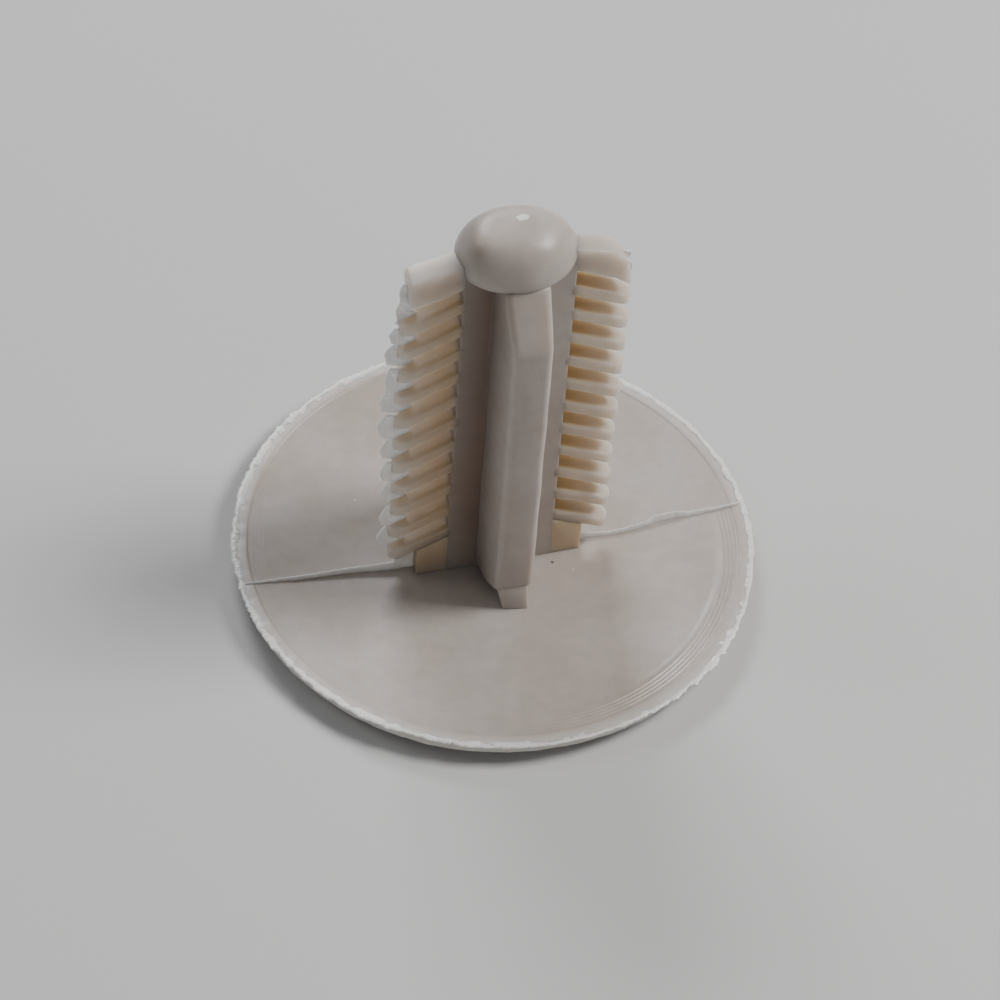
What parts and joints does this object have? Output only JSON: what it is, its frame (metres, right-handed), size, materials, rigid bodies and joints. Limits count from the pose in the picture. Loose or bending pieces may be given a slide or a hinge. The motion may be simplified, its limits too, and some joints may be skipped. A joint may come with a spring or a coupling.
{
  "type": "wall anchor",
  "caption": "Push-in nylon wall anchor: a dished disc head on a cross-shaped shank with two plain blades, two rows of bending barbs and a mushroom tip.",
  "frame": {"origin": "centre of the head's flat underside, which is the bottom centre of the whole part", "axes": "+Z along the shank from the head to the tip, +X towards the right row of barbs, -Y towards the front blade"},
  "size_m": [0.025, 0.025, 0.0231],
  "materials": {
    "head_nylon": "satin natural nylon",
    "shank_nylon": "satin natural nylon",
    "barb_nylon": "satin natural nylon, slightly see-through where thin",
    "tip_nylon": "satin natural nylon"
  },
  "bodies": {
    "anchor": {"head_disc": "head_nylon", "shank_spine": "shank_nylon", "front_blade": "shank_nylon", "rear_blade": "shank_nylon", "front_foot": "shank_nylon", "rear_foot": "shank_nylon", "left_cap": "barb_nylon", "right_cap": "barb_nylon", "left_gusset": "barb_nylon", "right_gusset": "barb_nylon", "tip": "tip_nylon", "left_barb_11": "barb_nylon", "right_barb_11": "barb_nylon"},
    "left_barb_01": {"left_barb_01": "barb_nylon"},
    "right_barb_01": {"right_barb_01": "barb_nylon"},
    "left_barb_02": {"left_barb_02": "barb_nylon"},
    "right_barb_02": {"right_barb_02": "barb_nylon"},
    "left_barb_03": {"left_barb_03": "barb_nylon"},
    "right_barb_03": {"right_barb_03": "barb_nylon"},
    "left_barb_04": {"left_barb_04": "barb_nylon"},
    "right_barb_04": {"right_barb_04": "barb_nylon"},
    "left_barb_05": {"left_barb_05": "barb_nylon"},
    "right_barb_05": {"right_barb_05": "barb_nylon"},
    "left_barb_06": {"left_barb_06": "barb_nylon"},
    "right_barb_06": {"right_barb_06": "barb_nylon"},
    "left_barb_07": {"left_barb_07": "barb_nylon"},
    "right_barb_07": {"right_barb_07": "barb_nylon"},
    "left_barb_08": {"left_barb_08": "barb_nylon"},
    "right_barb_08": {"right_barb_08": "barb_nylon"},
    "left_barb_09": {"left_barb_09": "barb_nylon"},
    "right_barb_09": {"right_barb_09": "barb_nylon"},
    "left_barb_10": {"left_barb_10": "barb_nylon"},
    "right_barb_10": {"right_barb_10": "barb_nylon"}
  },
  "joints": [
    {"name": "left_barb_01_bend", "type": "hinge", "parent": "anchor", "child": "left_barb_01", "pos_m": [-0.00262, -0.00028, 0.01841], "axis": [0, -1, 0], "range_deg": [0, 10], "stiffness_Nm_per_rad": 0.06},
    {"name": "right_barb_01_bend", "type": "hinge", "parent": "anchor", "child": "right_barb_01", "pos_m": [0.00262, -0.00028, 0.01841], "axis": [0, 1, 0], "range_deg": [0, 10], "stiffness_Nm_per_rad": 0.06},
    {"name": "left_barb_02_bend", "type": "hinge", "parent": "anchor", "child": "left_barb_02", "pos_m": [-0.00262, -0.00028, 0.01687], "axis": [0, -1, 0], "range_deg": [0, 10], "stiffness_Nm_per_rad": 0.06},
    {"name": "right_barb_02_bend", "type": "hinge", "parent": "anchor", "child": "right_barb_02", "pos_m": [0.00262, -0.00028, 0.01687], "axis": [0, 1, 0], "range_deg": [0, 10], "stiffness_Nm_per_rad": 0.06},
    {"name": "left_barb_03_bend", "type": "hinge", "parent": "anchor", "child": "left_barb_03", "pos_m": [-0.00262, -0.00028, 0.01534], "axis": [0, -1, 0], "range_deg": [0, 10], "stiffness_Nm_per_rad": 0.06},
    {"name": "right_barb_03_bend", "type": "hinge", "parent": "anchor", "child": "right_barb_03", "pos_m": [0.00262, -0.00028, 0.01534], "axis": [0, 1, 0], "range_deg": [0, 10], "stiffness_Nm_per_rad": 0.06},
    {"name": "left_barb_04_bend", "type": "hinge", "parent": "anchor", "child": "left_barb_04", "pos_m": [-0.00262, -0.00028, 0.0138], "axis": [0, -1, 0], "range_deg": [0, 10], "stiffness_Nm_per_rad": 0.06},
    {"name": "right_barb_04_bend", "type": "hinge", "parent": "anchor", "child": "right_barb_04", "pos_m": [0.00262, -0.00028, 0.0138], "axis": [0, 1, 0], "range_deg": [0, 10], "stiffness_Nm_per_rad": 0.06},
    {"name": "left_barb_05_bend", "type": "hinge", "parent": "anchor", "child": "left_barb_05", "pos_m": [-0.00262, -0.00028, 0.01227], "axis": [0, -1, 0], "range_deg": [0, 10], "stiffness_Nm_per_rad": 0.06},
    {"name": "right_barb_05_bend", "type": "hinge", "parent": "anchor", "child": "right_barb_05", "pos_m": [0.00262, -0.00028, 0.01227], "axis": [0, 1, 0], "range_deg": [0, 10], "stiffness_Nm_per_rad": 0.06},
    {"name": "left_barb_06_bend", "type": "hinge", "parent": "anchor", "child": "left_barb_06", "pos_m": [-0.00262, -0.00028, 0.01073], "axis": [0, -1, 0], "range_deg": [0, 10], "stiffness_Nm_per_rad": 0.06},
    {"name": "right_barb_06_bend", "type": "hinge", "parent": "anchor", "child": "right_barb_06", "pos_m": [0.00262, -0.00028, 0.01073], "axis": [0, 1, 0], "range_deg": [0, 10], "stiffness_Nm_per_rad": 0.06},
    {"name": "left_barb_07_bend", "type": "hinge", "parent": "anchor", "child": "left_barb_07", "pos_m": [-0.00262, -0.00028, 0.00919], "axis": [0, -1, 0], "range_deg": [0, 10], "stiffness_Nm_per_rad": 0.06},
    {"name": "right_barb_07_bend", "type": "hinge", "parent": "anchor", "child": "right_barb_07", "pos_m": [0.00262, -0.00028, 0.00919], "axis": [0, 1, 0], "range_deg": [0, 10], "stiffness_Nm_per_rad": 0.06},
    {"name": "left_barb_08_bend", "type": "hinge", "parent": "anchor", "child": "left_barb_08", "pos_m": [-0.00262, -0.00028, 0.00766], "axis": [0, -1, 0], "range_deg": [0, 10], "stiffness_Nm_per_rad": 0.06},
    {"name": "right_barb_08_bend", "type": "hinge", "parent": "anchor", "child": "right_barb_08", "pos_m": [0.00262, -0.00028, 0.00766], "axis": [0, 1, 0], "range_deg": [0, 10], "stiffness_Nm_per_rad": 0.06},
    {"name": "left_barb_09_bend", "type": "hinge", "parent": "anchor", "child": "left_barb_09", "pos_m": [-0.00262, -0.00028, 0.00612], "axis": [0, -1, 0], "range_deg": [0, 10], "stiffness_Nm_per_rad": 0.06},
    {"name": "right_barb_09_bend", "type": "hinge", "parent": "anchor", "child": "right_barb_09", "pos_m": [0.00262, -0.00028, 0.00612], "axis": [0, 1, 0], "range_deg": [0, 10], "stiffness_Nm_per_rad": 0.06},
    {"name": "left_barb_10_bend", "type": "hinge", "parent": "anchor", "child": "left_barb_10", "pos_m": [-0.00262, -0.00028, 0.00459], "axis": [0, -1, 0], "range_deg": [0, 10], "stiffness_Nm_per_rad": 0.06},
    {"name": "right_barb_10_bend", "type": "hinge", "parent": "anchor", "child": "right_barb_10", "pos_m": [0.00262, -0.00028, 0.00459], "axis": [0, 1, 0], "range_deg": [0, 10], "stiffness_Nm_per_rad": 0.06}
  ]
}
